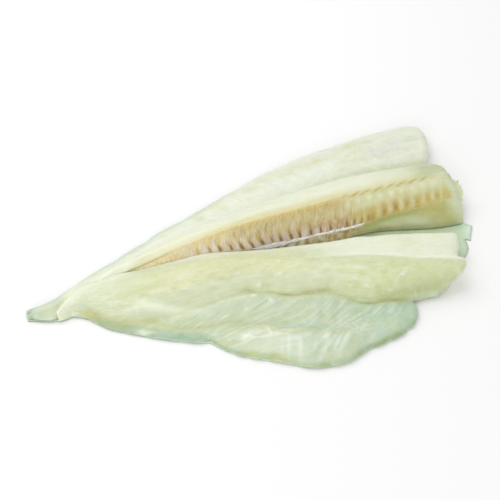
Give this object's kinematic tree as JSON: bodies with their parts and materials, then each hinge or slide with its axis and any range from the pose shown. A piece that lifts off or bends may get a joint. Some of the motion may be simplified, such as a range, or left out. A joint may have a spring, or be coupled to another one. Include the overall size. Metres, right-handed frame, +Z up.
{
  "type": "butterflied cod",
  "caption": "Raw cod opened flat on its skin, with thick loins, thin belly flaps, a ridged backbone along the cut and a narrow tail stub.",
  "frame": {"origin": "on the surface that the fish lies on, under the middle of its bounding box", "axes": "+X from the tail to the cut head end, +Y from the near fillet to the far fillet that keeps the backbone, +Z up"},
  "size_m": [0.4504, 0.2846, 0.0281],
  "materials": {
    "skin": "wet, smooth, blue-green grey",
    "near_flesh": "wet, translucent, pale cream green",
    "far_flesh": "wet, translucent, pale cream",
    "bone": "wet membrane over bone, yellow and purple grey with brown marks"
  },
  "bodies": {
    "root": {"skin": "skin", "near_fillet": "near_flesh", "far_fillet": "far_flesh", "backbone": "bone"}
  },
  "joints": []
}
